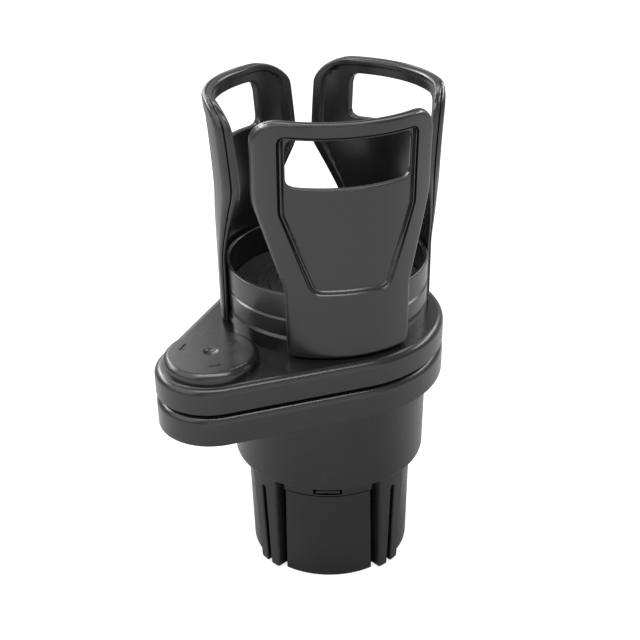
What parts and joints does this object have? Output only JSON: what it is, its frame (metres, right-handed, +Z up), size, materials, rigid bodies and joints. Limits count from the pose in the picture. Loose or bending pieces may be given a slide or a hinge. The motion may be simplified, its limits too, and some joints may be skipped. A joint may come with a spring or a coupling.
{
  "type": "cup holder expander",
  "caption": "Two-level car cup holder: an expanding base carries a lower cup, and a second cup with claw arms swings aside on a pivot.",
  "frame": {"origin": "centre of the base's foot, where the holder stands in the car's cup well", "axes": "+Z up along the cups' axis, the swing pivot lies on -X of that axis"},
  "size_m": [0.126, 0.092, 0.1981],
  "materials": {
    "shell_plastic": "satin black moulding with a fine grain",
    "blade_plastic": "satin black moulding",
    "gear_plastic": "smooth dark grey moulding",
    "mat_rubber": "soft matt",
    "screw_steel": "plain zinc plated"
  },
  "bodies": {
    "base": {"base_body": "shell_plastic", "base_floor": "shell_plastic", "floor_screws": "screw_steel"},
    "blade_a": {"blade_1": "blade_plastic"},
    "blade_b": {"blade_2": "blade_plastic"},
    "blade_c": {"blade_3": "blade_plastic"},
    "blade_d": {"blade_4": "blade_plastic"},
    "cup": {"lower_cup": "shell_plastic", "lower_scroll": "gear_plastic", "scroll_screws": "screw_steel", "base_bolt": "screw_steel", "lower_mat": "mat_rubber", "pivot_bolt": "screw_steel", "pivot_washer": "gear_plastic", "pivot_springs": "screw_steel", "pivot_nut": "screw_steel"},
    "swing": {"swing_plate": "shell_plastic", "pivot_cap": "shell_plastic", "arm_guide": "shell_plastic", "guide_screws": "screw_steel", "ring_bolt": "screw_steel"},
    "ring": {"cup_ring": "shell_plastic", "upper_scroll": "gear_plastic", "ring_screws": "screw_steel", "cup_mat": "mat_rubber"},
    "arm_a": {"arm_1": "shell_plastic"},
    "arm_b": {"arm_2": "shell_plastic"},
    "arm_c": {"arm_3": "shell_plastic"}
  },
  "joints": [
    {"name": "base_turn", "type": "hinge", "parent": "base", "child": "cup", "pos_m": [0, 0, 0.045], "axis": [0, 0, 1], "range_deg": [0, 60]},
    {"name": "blade_1_slide", "type": "slide", "parent": "base", "child": "blade_a", "axis": [1, 0, 0], "range_m": [0, 0.00501]},
    {"name": "blade_2_slide", "type": "slide", "parent": "base", "child": "blade_b", "axis": [0, 1, 0], "range_m": [0, 0.00501]},
    {"name": "blade_3_slide", "type": "slide", "parent": "base", "child": "blade_c", "axis": [-1, 0, 0], "range_m": [0, 0.00501]},
    {"name": "blade_4_slide", "type": "slide", "parent": "base", "child": "blade_d", "axis": [0, -1, 0], "range_m": [0, 0.00501]},
    {"name": "swing_turn", "type": "hinge", "parent": "cup", "child": "swing", "pos_m": [-0.059, 0, 0.1], "axis": [0, 0, 1], "continuous": true},
    {"name": "ring_turn", "type": "hinge", "parent": "swing", "child": "ring", "pos_m": [0, 0, 0.115], "axis": [0, 0, 1], "range_deg": [0, 100]},
    {"name": "arm_1_slide", "type": "slide", "parent": "swing", "child": "arm_a", "axis": [0.9998, -0.0175, 0], "range_m": [0, 0.00901]},
    {"name": "arm_2_slide", "type": "slide", "parent": "swing", "child": "arm_b", "axis": [-0.4848, 0.8746, 0], "range_m": [0, 0.00901]},
    {"name": "arm_3_slide", "type": "slide", "parent": "swing", "child": "arm_c", "axis": [-0.515, -0.8572, 0], "range_m": [0, 0.00901]}
  ],
  "couplings": [
    {"joint": "blade_1_slide", "follows": "base_turn", "m_per_rad": 0.0047747},
    {"joint": "blade_2_slide", "follows": "base_turn", "m_per_rad": 0.0047747},
    {"joint": "blade_3_slide", "follows": "base_turn", "m_per_rad": 0.0047747},
    {"joint": "blade_4_slide", "follows": "base_turn", "m_per_rad": 0.0047747},
    {"joint": "arm_1_slide", "follows": "ring_turn", "m_per_rad": 0.0051566},
    {"joint": "arm_2_slide", "follows": "ring_turn", "m_per_rad": 0.0051566},
    {"joint": "arm_3_slide", "follows": "ring_turn", "m_per_rad": 0.0051566}
  ]
}
